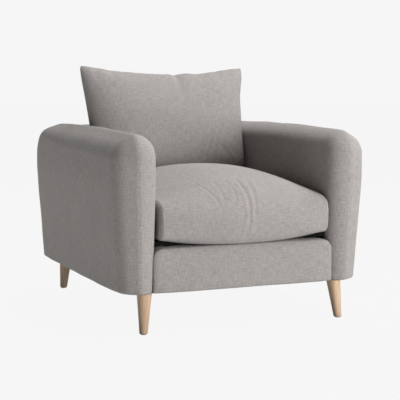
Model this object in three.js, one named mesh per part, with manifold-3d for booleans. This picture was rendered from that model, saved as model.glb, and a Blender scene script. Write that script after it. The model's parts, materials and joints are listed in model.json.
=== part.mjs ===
// An upholstered lounge armchair with a loose seat cushion and a loose back cushion.
// Millimetres. The origin is on the floor under the middle of the chair, +Z is up, and the
// chair faces -Y. Right is +X and left is -X, as seen by someone who stands in front of it.
// The pieces are laid out from the middle of the timber base, and the whole chair is then
// moved back by CENTRING, because the arms lean forward over the front of the base.
import * as THREE from 'three';
import { mergeVertices } from 'three/addons/utils/BufferGeometryUtils.js';
import Module from 'manifold-3d';

const wasm = await Module();
wasm.setup();

// Driving sizes
const GAP = 0.3; // between pieces that touch
const CENTRING = 9;
const BODY_BOTTOM = 132; // underside of the upholstery
const ARM_TOP = 655;
const ARM_FRONT = -487; // front of an arm at the bottom
const ARM_FRONT_LEAN = 18; // how far the arm's front leans forward on its way up
const BODY_REAR = 487;
const ARM_INSIDE = 315;
const ARM_OUTSIDE = 434; // at the bottom
const ARM_FLARE = 23; // how far the outside leans out on its way up
const FLARE_HEIGHT = 350; // the height over which both leans happen
const RAIL_FRONT = -479; // upholstered face of the front rail
const RAIL_TOP = 276;
const BACK_TOP = 643;
const OUTSIDE_BACK = { top: 597.7, thick: 16 };
const BACK_SLOPE = Math.tan(THREE.MathUtils.degToRad(14));
const SEAT_BOTTOM = 298; // underside of the seat cushion
const BACK_CUSHION_BOTTOM = 468;
const BACK_CUSHION_TOP = 869; // its two top corners
const CUSHION_REAR = 262; // rear face of the seat cushion
const ZIP = { half: 240, teethHalf: 236, parked: -229, sliderHalf: 6, tabHalf: 3 };
const BEYOND = 700; // past every face of a piece that is being cut

// Timber sizes
const PLY = 22;
const BOARD = 25;
const BASE_BOTTOM = 134.7;
const BASE_TOP = BASE_BOTTOM + PLY;
const BASE_WIDTH = 80;
const BASE_OUTSIDE = 412;
const BASE_END = 458;
const NOTCH = { middle: 315, half: 17, depth: 26 }; // where the covers of arm and rail are tucked in
const RAIL_TIMBER_TOP = 267;
const FRONT_RAIL_Y = -450;
const BACK_RAIL_Y = 346;
const POST = { inside: 350, outside: 395, depth: 60, top: 575 };
const POCKET = { inside: 334, top: 600, lowTop: 282 }; // room in an arm for its timber
const BACK_POST = { inside: 265, outside: 305, depth: 40, bottom: 165, top: 596 };

// Legs and fixings
const FOOT = { x: 357.5, frontY: -462, rearY: 454, radius: 14, edge: 4, bottom: 1.5 };
const LEG_TOP = { x: 348, frontY: -445, rearY: 450, radius: 24.8, z: 131.7 };
const BOLT = { radius: 4, bottom: 92, top: 151 };
const BORE = 4.3;
const INSERT = { radius: 6.5, hole: 6.8, bottom: 135.2, top: 153.2, flange: 8 };
const GLIDE = { radius: 10, thick: 3.2, pin: 1.2, pinTop: 12 };

// Suspension
const SPRINGS = 4;
const SPRING_PITCH = 150;
const WIRE = 1.9;
const SPRING_ENDS = { front: -434, rear: 358 };
const SPRING_BARS = 19;
const SPRING_HALF_WIDTH = 24;
const WIRE_Z = 271.4;
const SPRING_RISE = 9;
const DECK = { bottom: 283.5, top: 297, front: -443, rear: 302, half: 312 };
const STRAPS = [-150, 0, 150];

const FINISHES = {
  plywood: { color: 0xcaa878, roughness: 0.75, metalness: 0 },
  softwood: { color: 0xd8bd8c, roughness: 0.75, metalness: 0 },
  oak: { color: 0xc9a27c, roughness: 0.5, metalness: 0 },
  steel: { color: 0x9a9da0, roughness: 0.4, metalness: 0.9 },
  nylon: { color: 0x2b2a29, roughness: 0.6, metalness: 0 },
  webbing: { color: 0x3a3734, roughness: 0.9, metalness: 0 },
  deck: { color: 0x1f1f1f, roughness: 0.95, metalness: 0 },
  cambric: { color: 0x1f1f1f, roughness: 0.95, metalness: 0 },
  fabric: { color: 0xaaa5a1, roughness: 0.95, metalness: 0 },
  zip: { color: 0x8a8580, roughness: 0.8, metalness: 0 },
};

function piece(name, finish, geometry, side = 1) {
  const mesh = new THREE.Mesh(geometry, new THREE.MeshStandardMaterial(FINISHES[finish]));
  mesh.name = name;
  mesh.scale.x = side; // -1 turns a right-hand piece into its left-hand twin
  return mesh;
}

function group(name, pieces) {
  const made = new THREE.Group();
  made.name = name;
  made.add(...pieces);
  return made;
}

function solid(geometry) {
  const bare = geometry.clone();
  bare.deleteAttribute('normal');
  bare.deleteAttribute('uv');
  const merged = mergeVertices(bare, 1e-4);
  return new wasm.Manifold(new wasm.Mesh({
    numProp: 3,
    vertProperties: merged.attributes.position.array,
    triVerts: new Uint32Array(merged.index.array),
  }));
}

function geometryOf(manifold) {
  const mesh = manifold.getMesh();
  const geometry = new THREE.BufferGeometry();
  geometry.setAttribute('position', new THREE.BufferAttribute(new Float32Array(mesh.vertProperties), 3));
  geometry.setIndex(new THREE.BufferAttribute(new Uint32Array(mesh.triVerts), 1));
  geometry.computeVertexNormals();
  return geometry;
}

function box([x0, x1], [y0, y1], [z0, z1]) {
  const made = new THREE.BoxGeometry(x1 - x0, y1 - y0, z1 - z0);
  return made.translate((x0 + x1) / 2, (y0 + y1) / 2, (z0 + z1) / 2);
}

function rod(radius, x, y, [z0, z1], sides = 20) {
  const made = new THREE.CylinderGeometry(radius, radius, z1 - z0, sides);
  return made.rotateX(Math.PI / 2).translate(x, y, (z0 + z1) / 2);
}

// A plate with a side outline of [y, z] points, from one x to another.
function plate(outline, [x0, x1]) {
  const shape = new THREE.Shape(outline.map(([y, z]) => new THREE.Vector2(y, z)));
  return standing(new THREE.ExtrudeGeometry(shape, { depth: x1 - x0, bevelEnabled: false }), x0);
}

// Turns an extrusion drawn in (y, z) and pulled along its third axis so that it runs along +X.
function standing(geometry, x0) {
  const turn = new THREE.Matrix4().set(0, 0, 1, x0, 1, 0, 0, 0, 0, 1, 0, 0, 0, 0, 0, 1);
  return geometry.applyMatrix4(turn);
}

function move(geometry, change) {
  const at = geometry.attributes.position;
  const point = new THREE.Vector3();
  for (let i = 0; i < at.count; i += 1) {
    point.fromBufferAttribute(at, i);
    change(point);
    at.setXYZ(i, point.x, point.y, point.z);
  }
  return geometry;
}

function cut(geometry, ...tools) {
  return geometryOf(tools.reduce((left, tool) => left.subtract(solid(tool)), solid(geometry)));
}

function join(...geometries) {
  return geometryOf(geometries.map(solid).reduce((all, one) => all.add(one)));
}

const CORNERS = [
  { name: 'front_left', side: -1, front: true },
  { name: 'front_right', side: 1, front: true },
  { name: 'rear_left', side: -1, front: false },
  { name: 'rear_right', side: 1, front: false },
];
const SIDES = [{ name: 'left', side: -1 }, { name: 'right', side: 1 }];

function legTopY(corner) {
  return corner.front ? LEG_TOP.frontY : LEG_TOP.rearY;
}

function backFace(z) {
  return 303 + (z - 445) * BACK_SLOPE; // the padded face that the back cushion leans on
}

// Base: a flat ring of plywood that carries the legs
function endBoard(name, y0) {
  const holes = [-1, 1].map((side) => rod(
    INSERT.hole,
    side * LEG_TOP.x,
    y0 < 0 ? LEG_TOP.frontY : LEG_TOP.rearY,
    [BASE_BOTTOM - 1, BASE_TOP + 1],
  ));
  const board = box([-BASE_OUTSIDE, BASE_OUTSIDE], [y0, y0 + BASE_WIDTH], [BASE_BOTTOM, BASE_TOP]);
  const edge = y0 < 0 ? -BASE_END : BASE_END;
  const notches = [-1, 1].map((side) => box(
    [side * NOTCH.middle - NOTCH.half, side * NOTCH.middle + NOTCH.half],
    [edge - NOTCH.depth, edge + NOTCH.depth],
    [BASE_BOTTOM - 1, BASE_TOP + 1],
  ));
  return piece(name, 'plywood', cut(board, ...holes, ...notches));
}

function sideBoard({ name, side }) {
  const end = BASE_END - BASE_WIDTH - GAP;
  const across = [BASE_OUTSIDE - BASE_WIDTH, BASE_OUTSIDE];
  return piece(`base_${name}_board`, 'plywood', box(across, [-end, end], [BASE_BOTTOM, BASE_TOP]), side);
}

// Upright rails on the ring, with corner blocks glued into the corners
function backRail() {
  const end = POST.outside - BOARD - GAP;
  const deep = [BACK_RAIL_Y, BACK_RAIL_Y + BOARD];
  return piece('back_rail', 'softwood', box([-end, end], deep, [BASE_TOP + GAP, RAIL_TIMBER_TOP]));
}

// The front rail steps down at its ends, under the rounded corners of its padding
function frontRail() {
  const end = POST.inside - GAP;
  const shoulder = { x: 272, z: 234 };
  const outline = [
    [-end, BASE_TOP + GAP],
    [end, BASE_TOP + GAP],
    [end, shoulder.z],
    [shoulder.x, shoulder.z],
    [shoulder.x, RAIL_TIMBER_TOP],
    [-shoulder.x, RAIL_TIMBER_TOP],
    [-shoulder.x, shoulder.z],
    [-end, shoulder.z],
  ];
  const shape = new THREE.Shape(outline.map(([x, z]) => new THREE.Vector2(x, z)));
  const made = new THREE.ExtrudeGeometry(shape, { depth: BOARD, bevelEnabled: false });
  return piece('front_rail', 'softwood', made.rotateX(Math.PI / 2).translate(0, FRONT_RAIL_Y + BOARD, 0));
}

function sideRail({ name, side }) {
  const end = BASE_END - POST.depth - GAP;
  const across = [POST.outside - BOARD, POST.outside];
  const up = [BASE_TOP + GAP, RAIL_TIMBER_TOP];
  return piece(`${name}_side_rail`, 'softwood', box(across, [-end, end], up), side);
}

function cornerBlock({ name, side, front }) {
  const leg = 56;
  const inner = front ? POST.inside - GAP : POST.outside - BOARD - GAP;
  const face = front ? FRONT_RAIL_Y + BOARD + GAP : BACK_RAIL_Y - GAP;
  const into = front ? 1 : -1;
  const outline = new THREE.Shape([
    new THREE.Vector2(inner, face),
    new THREE.Vector2(inner, face + into * leg),
    new THREE.Vector2(inner - 10, face + into * leg),
    new THREE.Vector2(inner - leg, face + into * 10),
    new THREE.Vector2(inner - leg, face),
  ]);
  const made = new THREE.ExtrudeGeometry(outline, { depth: 72, bevelEnabled: false });
  return piece(`corner_block_${name}`, 'softwood', made.translate(0, 0, BASE_TOP + GAP), side);
}

// Arm frames
function armPost({ name, side }, end) {
  const y0 = end === 'front' ? -BASE_END : BASE_END - POST.depth;
  const made = box([POST.inside, POST.outside], [y0, y0 + POST.depth], [BASE_TOP + GAP, POST.top]);
  return piece(`${name}_arm_${end}_post`, 'softwood', made, side);
}

function armTopRail({ name, side }) {
  const up = [POST.top + GAP, POST.top + GAP + PLY];
  return piece(`${name}_arm_top_rail`, 'softwood', box([342, 405], [-450, 450], up), side);
}

// Back frame: two cranked posts on the back rail, two cross rails and elastic straps
function backPost({ name, side }) {
  const rear = BACK_RAIL_Y - GAP;
  const lean = (BACK_POST.top - RAIL_TIMBER_TOP) * BACK_SLOPE;
  const outline = [
    [rear, BACK_POST.bottom],
    [rear, RAIL_TIMBER_TOP],
    [rear + lean, BACK_POST.top],
    [rear + lean - BACK_POST.depth, BACK_POST.top],
    [rear - BACK_POST.depth, RAIL_TIMBER_TOP],
    [rear - BACK_POST.depth, BACK_POST.bottom],
  ];
  const made = plate(outline, [BACK_POST.inside, BACK_POST.outside]);
  return piece(`${name}_back_post`, 'softwood', made, side);
}

function backCrossRail(name, y, z) {
  const end = BACK_POST.inside - GAP;
  return piece(name, 'softwood', box([-end, end], y, z));
}

function backStrap(x, index) {
  const front = 45.6;
  const thick = 1.4;
  const [low, high] = [302, 592];
  const outline = [
    [backFace(low) + front, low],
    [backFace(low) + front + thick, low],
    [backFace(high) + front + thick, high],
    [backFace(high) + front, high],
  ];
  return piece(`back_strap_${index + 1}`, 'webbing', plate(outline, [x - 25, x + 25]));
}

// Seat suspension: zigzag springs held by two clip strips, with a felt deck on top
function springX(index) {
  return (index - (SPRINGS - 1) / 2) * SPRING_PITCH;
}

function springPath(x) {
  const points = [];
  for (let bar = 0; bar < SPRING_BARS; bar += 1) {
    const along = bar / (SPRING_BARS - 1);
    const y = THREE.MathUtils.lerp(SPRING_ENDS.front, SPRING_ENDS.rear, along);
    const z = WIRE_Z + SPRING_RISE * Math.sin(Math.PI * along);
    const from = bar % 2 ? 1 : -1;
    for (const share of [-1, -0.62, 0.62, 1]) {
      const bulge = Math.abs(share) === 1 && bar > 0 && bar < SPRING_BARS - 1 ? 9 * Math.sign(share) : 0;
      points.push(new THREE.Vector3(x - from * share * SPRING_HALF_WIDTH, y + bulge, z));
    }
  }
  return new THREE.CatmullRomCurve3(points, false, 'centripetal');
}

function wireSection() {
  const sides = 6;
  return new THREE.Shape(Array.from({ length: sides }, (_, i) => {
    const turn = (i / sides) * 2 * Math.PI;
    return new THREE.Vector2(WIRE * Math.cos(turn), WIRE * Math.sin(turn));
  }));
}

function seatSpring(_, index) {
  const steps = SPRING_BARS * 4;
  const path = springPath(springX(index));
  const made = new THREE.ExtrudeGeometry(wireSection(), { steps, extrudePath: path, bevelEnabled: false });
  return piece(`seat_spring_${index + 1}`, 'steel', made);
}

function springClips(name, y) {
  const half = 7.5;
  const strip = box([-250, 250], [y - half, y + half], [RAIL_TIMBER_TOP + GAP, RAIL_TIMBER_TOP + 1.7]);
  const hooks = [];
  const tunnels = [];
  for (let i = 0; i < SPRINGS; i += 1) {
    const across = [springX(i) - 9, springX(i) + 9];
    hooks.push(box(across, [y - 5, y + 5], [RAIL_TIMBER_TOP + 1, WIRE_Z + 4]));
    const tunnel = new THREE.CylinderGeometry(WIRE + 0.5, WIRE + 0.5, 40, 16);
    tunnels.push(tunnel.rotateZ(Math.PI / 2).translate(springX(i), y, WIRE_Z));
  }
  return piece(name, 'steel', cut(join(strip, ...hooks), ...tunnels));
}

function seatDeck() {
  const made = box([-DECK.half, DECK.half], [DECK.front, DECK.rear], [DECK.bottom, DECK.top]);
  return piece('seat_deck', 'deck', made);
}

function dustCover() {
  const margin = 6;
  const half = [BASE_OUTSIDE - margin, BASE_END - margin];
  const up = [BASE_BOTTOM - 1.5, BASE_BOTTOM - 0.4];
  const cloth = box([-half[0], half[0]], [-half[1], half[1]], up);
  const holes = CORNERS.map((corner) => {
    return rod(INSERT.flange + 2, corner.side * LEG_TOP.x, legTopY(corner), [BODY_BOTTOM, BASE_TOP]);
  });
  return piece('dust_cover', 'cambric', cut(cloth, ...holes));
}

// Legs
function legProfile() {
  const { radius, edge, bottom } = FOOT;
  const points = [new THREE.Vector2(0, bottom), new THREE.Vector2(radius - edge, bottom)];
  for (let i = 1; i <= 4; i += 1) {
    const turn = (i / 4) * (Math.PI / 2);
    points.push(new THREE.Vector2(
      radius - edge + edge * Math.sin(turn),
      bottom + edge - edge * Math.cos(turn),
    ));
  }
  points.push(new THREE.Vector2(LEG_TOP.radius, LEG_TOP.z), new THREE.Vector2(0, LEG_TOP.z));
  return points;
}

function leg(corner) {
  const footY = corner.front ? FOOT.frontY : FOOT.rearY;
  const turned = new THREE.LatheGeometry(legProfile(), 28).rotateX(Math.PI / 2);
  const splayed = move(turned, (point) => {
    const up = point.z / LEG_TOP.z;
    point.x += THREE.MathUtils.lerp(FOOT.x, LEG_TOP.x, up);
    point.y += THREE.MathUtils.lerp(footY, legTopY(corner), up);
  });
  const boltBore = rod(BORE, LEG_TOP.x, legTopY(corner), [BOLT.bottom - 1, LEG_TOP.z + 1]);
  const seat = rod(GLIDE.radius + GAP, FOOT.x, footY, [0, GLIDE.thick + GAP]);
  const pinHole = rod(GLIDE.pin + GAP, FOOT.x, footY, [GLIDE.thick, GLIDE.pinTop + 1], 10);
  return piece(`leg_${corner.name}`, 'oak', cut(splayed, boltBore, seat, pinHole), corner.side);
}

function legBolt(corner) {
  const tip = BOLT.bottom + 6;
  const profile = [
    [0, BOLT.bottom],
    [1.2, BOLT.bottom],
    [BOLT.radius, tip],
    [BOLT.radius, BOLT.top],
    [0, BOLT.top],
  ];
  const points = profile.map(([r, z]) => new THREE.Vector2(r, z));
  const made = new THREE.LatheGeometry(points, 20).rotateX(Math.PI / 2);
  made.translate(LEG_TOP.x, legTopY(corner), 0);
  return piece(`leg_bolt_${corner.name}`, 'steel', made, corner.side);
}

function legInsert(corner) {
  const y = legTopY(corner);
  const barrel = rod(INSERT.radius, LEG_TOP.x, y, [INSERT.bottom, INSERT.top], 6);
  const flange = rod(INSERT.flange, LEG_TOP.x, y, [INSERT.bottom - 1.7, BASE_BOTTOM - GAP], 24);
  const stem = rod(INSERT.radius - 0.3, LEG_TOP.x, y, [INSERT.bottom - 1.2, INSERT.bottom + 1], 24);
  const bore = rod(BORE, LEG_TOP.x, y, [INSERT.bottom - 4, INSERT.top + 1]);
  return piece(`leg_insert_${corner.name}`, 'steel', cut(join(barrel, flange, stem), bore), corner.side);
}

function glide(corner) {
  const y = corner.front ? FOOT.frontY : FOOT.rearY;
  const profile = [
    [0, 0],
    [GLIDE.radius - 1, 0],
    [GLIDE.radius, 1],
    [GLIDE.radius, GLIDE.thick],
    [GLIDE.pin, GLIDE.thick],
    [GLIDE.pin, GLIDE.pinTop],
    [0, GLIDE.pinTop],
  ];
  const made = new THREE.LatheGeometry(profile.map(([r, z]) => new THREE.Vector2(r, z)), 24);
  made.rotateX(Math.PI / 2).translate(FOOT.x, y, 0);
  return piece(`glide_${corner.name}`, 'nylon', made, corner.side);
}

// Upholstery
function armOutline() {
  const frontTop = ARM_FRONT - ARM_FRONT_LEAN;
  const frontRound = 85;
  const rearRound = 110;
  const outline = new THREE.Shape();
  outline.moveTo(ARM_FRONT, BODY_BOTTOM - 60);
  outline.lineTo(BODY_REAR, BODY_BOTTOM - 60);
  outline.lineTo(BODY_REAR, ARM_TOP - rearRound);
  outline.absarc(BODY_REAR - rearRound, ARM_TOP - rearRound, rearRound, 0, Math.PI / 2);
  outline.absarc(frontTop + frontRound, ARM_TOP - frontRound, frontRound, Math.PI / 2, Math.PI);
  outline.lineTo(frontTop, BODY_BOTTOM + FLARE_HEIGHT);
  outline.lineTo(ARM_FRONT, BODY_BOTTOM);
  return outline;
}

function armUpholstery({ name, side }) {
  const edge = 44;
  const across = ARM_OUTSIDE - ARM_INSIDE;
  const padded = new THREE.ExtrudeGeometry(armOutline(), {
    depth: across - 2 * edge,
    bevelThickness: edge,
    bevelSize: edge,
    bevelOffset: -edge,
    bevelSegments: 4,
    curveSegments: 7,
  });
  move(standing(padded, ARM_INSIDE + edge), (point) => {
    const up = THREE.MathUtils.clamp((point.z - BODY_BOTTOM) / FLARE_HEIGHT, 0, 1);
    point.x += ((point.x - ARM_INSIDE) / across) * ARM_FLARE * up;
  });
  const squareRear = box([ARM_INSIDE, ARM_INSIDE + 40], [BODY_REAR - 60, BODY_REAR], [BODY_BOTTOM - 20, 560]);
  const below = box([0, BEYOND], [-BEYOND, BEYOND], [-BEYOND, BODY_BOTTOM]);
  const along = [-BASE_END - 2, BASE_END + GAP];
  const pocket = box([POCKET.inside, BASE_OUTSIDE + 1.5], along, [0, POCKET.top]);
  const lowWay = box([0, POCKET.inside + 6], along, [0, POCKET.lowTop]);
  const hollowed = cut(join(padded, squareRear), below, pocket, lowWay);
  return piece(`${name}_arm_upholstery`, 'fabric', hollowed, side);
}

function roundedFront(halfWidth, [z0, z1], radius) {
  const shape = new THREE.Shape();
  shape.moveTo(-halfWidth, z0);
  shape.lineTo(halfWidth, z0);
  shape.lineTo(halfWidth, z1 - radius);
  shape.absarc(halfWidth - radius, z1 - radius, radius, 0, Math.PI / 2);
  shape.lineTo(-halfWidth + radius, z1);
  shape.absarc(-halfWidth + radius, z1 - radius, radius, Math.PI / 2, Math.PI);
  return shape;
}

function frontRailUpholstery() {
  const width = ARM_INSIDE - 0.5;
  const edge = 8;
  const thick = 47;
  const outline = roundedFront(width, [BODY_BOTTOM - 30, RAIL_TOP], 34);
  const pad = new THREE.ExtrudeGeometry(outline, {
    depth: thick,
    bevelThickness: edge,
    bevelSize: edge,
    bevelOffset: -edge,
    bevelSegments: 3,
    curveSegments: 6,
  });
  pad.rotateX(Math.PI / 2).translate(0, RAIL_FRONT + thick + edge, 0);
  const wide = [-BEYOND, BEYOND];
  const below = box(wide, wide, [-BEYOND, BODY_BOTTOM]);
  const behind = box(wide, [DECK.front - 0.5, 0], [0, BEYOND]);
  const timber = box(wide, [FRONT_RAIL_Y - GAP, 0], [0, RAIL_TIMBER_TOP + GAP]);
  const ring = box(wide, [-BASE_END - GAP, 0], [0, BASE_TOP + GAP]);
  return piece('front_rail_upholstery', 'fabric', cut(pad, below, behind, timber, ring));
}

function insideBack() {
  const bottom = DECK.top + 2;
  const pad = 45;
  const lip = 28;
  const round = 22;
  const lidBottom = BACK_POST.top + 20;
  const outline = new THREE.Shape();
  outline.moveTo(backFace(bottom), bottom);
  outline.lineTo(backFace(bottom) + pad, bottom);
  outline.lineTo(backFace(lidBottom) + pad, lidBottom);
  outline.lineTo(BODY_REAR - lip, lidBottom);
  outline.lineTo(BODY_REAR - lip, OUTSIDE_BACK.top + GAP);
  outline.lineTo(BODY_REAR, OUTSIDE_BACK.top + GAP);
  outline.lineTo(BODY_REAR, BACK_TOP - round);
  outline.quadraticCurveTo(BODY_REAR, BACK_TOP, BODY_REAR - round, BACK_TOP);
  outline.lineTo(backFace(BACK_TOP) + round, BACK_TOP);
  outline.quadraticCurveTo(backFace(BACK_TOP), BACK_TOP, backFace(BACK_TOP - round), BACK_TOP - round);
  const width = ARM_INSIDE - 0.5;
  const made = new THREE.ExtrudeGeometry(outline, { depth: 2 * width, bevelEnabled: false, curveSegments: 6 });
  return piece('inside_back_upholstery', 'fabric', standing(made, -width));
}

function outsideBack() {
  const width = ARM_INSIDE - 0.5;
  const deep = [BODY_REAR - OUTSIDE_BACK.thick, BODY_REAR];
  const made = box([-width, width], deep, [BODY_BOTTOM, OUTSIDE_BACK.top]);
  return piece('outside_back_panel', 'fabric', made);
}

// Cushions
function crown(share, power = 2.4) {
  return 1 - Math.abs(share) ** power;
}

function seatCushion() {
  const middleY = -114;
  const rearHalf = CUSHION_REAR - middleY;
  const frontHalf = 371;
  const rise = 87;
  const edgeTop = 428;
  const made = new THREE.BoxGeometry(2, 2, 2, 14, 16, 3);
  move(made, (point) => {
    const [u, v, w] = point.toArray();
    const top = edgeTop + rise * crown(u) * crown(v);
    point.x = u * (303 + 5 * crown(v, 2) + 3 * crown(w, 2));
    point.y = middleY + (v > 0 ? v * rearHalf : v * (frontHalf + 13 * crown(u, 2)));
    point.z = SEAT_BOTTOM + ((w + 1) / 2) * (top - SEAT_BOTTOM);
  });
  return piece('seat_cushion', 'fabric', made);
}

function backSeamY(z) {
  return 305 - (BACK_CUSHION_TOP - z) * BACK_SLOPE;
}

function backCushion() {
  const dip = 34;
  const halfThick = 97;
  const made = new THREE.BoxGeometry(2, 2, 2, 16, 2, 14);
  move(made, (point) => {
    const [u, w, v] = point.toArray();
    const top = BACK_CUSHION_TOP - dip * crown(u, 2);
    const flare = 26 * Math.max(0, (v - 0.1) / 0.9) ** 2;
    const thick = 4 + halfThick * Math.sqrt(crown(u, 4) * crown(v, 4));
    point.x = u * (307 + flare);
    point.z = BACK_CUSHION_BOTTOM + ((v + 1) / 2) * (top - BACK_CUSHION_BOTTOM);
    point.y = backSeamY(point.z) + w * thick;
  });
  return piece('back_cushion', 'fabric', made);
}

// Zips: a tape with its row of teeth, and a slider that runs along it
function centred(middle, half) {
  return [middle - half, middle + half];
}

function seatZip() {
  const z = 362;
  const tape = box(centred(0, ZIP.half), [CUSHION_REAR + GAP, CUSHION_REAR + 1.6], centred(z, 12));
  const teeth = box(centred(0, ZIP.teethHalf), [CUSHION_REAR + 1, CUSHION_REAR + 2.8], centred(z, 2));
  return piece('seat_cushion_zip', 'zip', join(tape, teeth));
}

function seatZipSlider() {
  const face = CUSHION_REAR + 3.1; // just clear of the teeth
  const body = box(centred(ZIP.parked, ZIP.sliderHalf), [face, face + 2.6], [357, 367]);
  const tab = box(centred(ZIP.parked, ZIP.tabHalf), [face + 1, face + 2.6], [336, 360]);
  return piece('seat_zip_slider', 'steel', join(body, tab));
}

function backZip() {
  const y = backSeamY(BACK_CUSHION_BOTTOM);
  const top = BACK_CUSHION_BOTTOM - GAP;
  const tape = box(centred(0, ZIP.half), centred(y, 6), [top - 1.5, top]);
  const teeth = box(centred(0, ZIP.teethHalf), centred(y, 2), [top - 2.7, top - 1]);
  return piece('back_cushion_zip', 'zip', join(tape, teeth));
}

function backZipSlider() {
  const y = backSeamY(BACK_CUSHION_BOTTOM);
  const low = BACK_CUSHION_BOTTOM - 5;
  const body = box(centred(ZIP.parked, ZIP.sliderHalf), [y + 2.3, y + 11], [low, low + 2.9]);
  const tab = box(centred(ZIP.parked, ZIP.tabHalf), [y + 8, y + 26], [low, low + 1.6]);
  return piece('back_zip_slider', 'steel', join(body, tab));
}

const frame = group('frame', [
  endBoard('base_front_board', -BASE_END),
  endBoard('base_back_board', BASE_END - BASE_WIDTH),
  ...SIDES.map(sideBoard),
  frontRail(),
  backRail(),
  ...SIDES.map(sideRail),
  ...CORNERS.map(cornerBlock),
  ...SIDES.map((each) => armPost(each, 'front')),
  ...SIDES.map((each) => armPost(each, 'rear')),
  ...SIDES.map(armTopRail),
  ...SIDES.map(backPost),
  backCrossRail('back_top_rail', [389, 415], [556, BACK_POST.top]),
  backCrossRail('back_lower_rail', [326, 348], [300, 340]),
]);
const suspension = group('suspension', [
  ...Array.from({ length: SPRINGS }, seatSpring),
  springClips('spring_clips_front', SPRING_ENDS.front),
  springClips('spring_clips_rear', SPRING_ENDS.rear),
  ...STRAPS.map(backStrap),
  seatDeck(),
  dustCover(),
]);
const legs = group('legs', [
  ...CORNERS.map(leg),
  ...CORNERS.map(legBolt),
  ...CORNERS.map(legInsert),
  ...CORNERS.map(glide),
]);
const upholstery = group('upholstery', [
  ...SIDES.map(armUpholstery),
  frontRailUpholstery(),
  insideBack(),
  outsideBack(),
]);
const cushions = group('cushions', [
  seatCushion(),
  backCushion(),
  seatZip(),
  backZip(),
  seatZipSlider(),
  backZipSlider(),
]);

const armchair = group('armchair', [frame, suspension, legs, upholstery, cushions]);
armchair.position.y = CENTRING;

export default armchair;
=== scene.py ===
"""The upholstered armchair: camera, studio, cloth-simulated cushions, padded covers and materials."""

import json
import math

import bmesh
import bpy
import numpy as np
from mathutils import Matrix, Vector, noise


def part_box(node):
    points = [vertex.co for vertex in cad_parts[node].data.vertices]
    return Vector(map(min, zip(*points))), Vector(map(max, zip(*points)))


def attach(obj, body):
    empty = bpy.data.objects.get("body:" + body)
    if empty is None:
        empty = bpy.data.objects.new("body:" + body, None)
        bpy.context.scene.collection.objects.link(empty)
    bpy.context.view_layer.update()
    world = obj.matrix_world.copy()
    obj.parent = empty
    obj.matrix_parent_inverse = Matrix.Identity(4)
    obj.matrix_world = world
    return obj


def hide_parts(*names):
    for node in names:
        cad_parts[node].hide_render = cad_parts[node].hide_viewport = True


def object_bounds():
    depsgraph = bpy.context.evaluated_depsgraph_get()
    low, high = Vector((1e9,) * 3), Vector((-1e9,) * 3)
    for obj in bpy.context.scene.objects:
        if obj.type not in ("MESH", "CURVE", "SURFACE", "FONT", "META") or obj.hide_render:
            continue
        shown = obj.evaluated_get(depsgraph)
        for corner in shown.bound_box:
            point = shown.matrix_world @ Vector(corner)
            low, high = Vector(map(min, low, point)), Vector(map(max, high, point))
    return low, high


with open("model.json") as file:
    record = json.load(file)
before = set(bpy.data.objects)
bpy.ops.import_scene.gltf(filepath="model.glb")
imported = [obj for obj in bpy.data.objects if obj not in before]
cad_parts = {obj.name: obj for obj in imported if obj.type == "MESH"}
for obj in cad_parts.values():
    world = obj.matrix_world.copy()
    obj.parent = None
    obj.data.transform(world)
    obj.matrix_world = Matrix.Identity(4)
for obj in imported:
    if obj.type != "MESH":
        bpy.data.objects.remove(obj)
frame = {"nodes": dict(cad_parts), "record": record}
CAD_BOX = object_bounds()

SIDES = {"left": -1, "right": 1}
CORNERS = ("front_left", "front_right", "rear_left", "rear_right")
UNDERSIDE = float(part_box("front_rail_upholstery")[0][2])
INSIDE_BACK_FOOT = float(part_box("inside_back_upholstery")[0][2])
CENTRING = 0.009  # added to every y of the outlines below, which centres the chair's box
REAR = 0.487  # y of the arms' and the back's rear faces
PALE = (0.92, 0.92, 0.92, 1)


# ---------------------------------------------------------------- camera, light and floor
CAMERA = {
    "place": (-1.6195, -3.918 + CENTRING, 0.82),
    "down": 5.96,  # degrees below level
    "right": 22.9,  # degrees from straight ahead
    "lens": 104.3,
    "sensor": 36,
}

# how many degrees right of the chair's front and above the floor, side in metres, watts
LAMPS = {
    "key": (31, 12, 2.4, 228),
    "top": (75, 74, 3.4, 238),
    "rim": (150, 50, 2.4, 105),
}
LAMP_TARGET = Vector((0, -0.1, 0.4))
LAMP_DISTANCE = 5.0


def make_camera():
    data = bpy.data.cameras.new("camera")
    data.lens = CAMERA["lens"]
    data.sensor_width = CAMERA["sensor"]
    camera = bpy.data.objects.new("camera", data)
    camera.location = CAMERA["place"]
    camera.rotation_euler = (math.radians(90 - CAMERA["down"]), 0, math.radians(-CAMERA["right"]))
    bpy.context.collection.objects.link(camera)
    bpy.context.scene.camera = camera


def lamp(name, turn, rise, size, watts):
    """A soft square light that points at the chair."""
    turn, rise = math.radians(turn), math.radians(rise)
    way = Vector((math.sin(turn) * math.cos(rise), -math.cos(turn) * math.cos(rise), math.sin(rise)))
    place = LAMP_TARGET + LAMP_DISTANCE * way
    data = bpy.data.lights.new(name, "AREA")
    data.shape = "RECTANGLE"
    data.size = data.size_y = size
    data.energy = watts
    light = bpy.data.objects.new(name, data)
    light.location = place
    light.rotation_euler = (LAMP_TARGET - place).to_track_quat("-Z", "Y").to_euler()
    light.visible_camera = False
    bpy.context.collection.objects.link(light)


def make_studio():
    """Soft lamps over a pale floor. The bounce board under the floor throws light back in its place."""
    bpy.context.scene.view_settings.view_transform = "Standard"
    make_world(sky=0.01)
    for name, numbers in LAMPS.items():
        lamp(name, *numbers)
    half = 30
    just_below = -0.001
    floor = mesh_object("floor", *flat_square(half))
    give(floor, floor_material())
    floor.visible_diffuse = False
    bounce = mesh_object("bounce_board", *flat_square(half))
    bounce.location.z = just_below
    give(bounce, bounce_material())
    bounce.visible_camera = False
    bounce.visible_shadow = False


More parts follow.
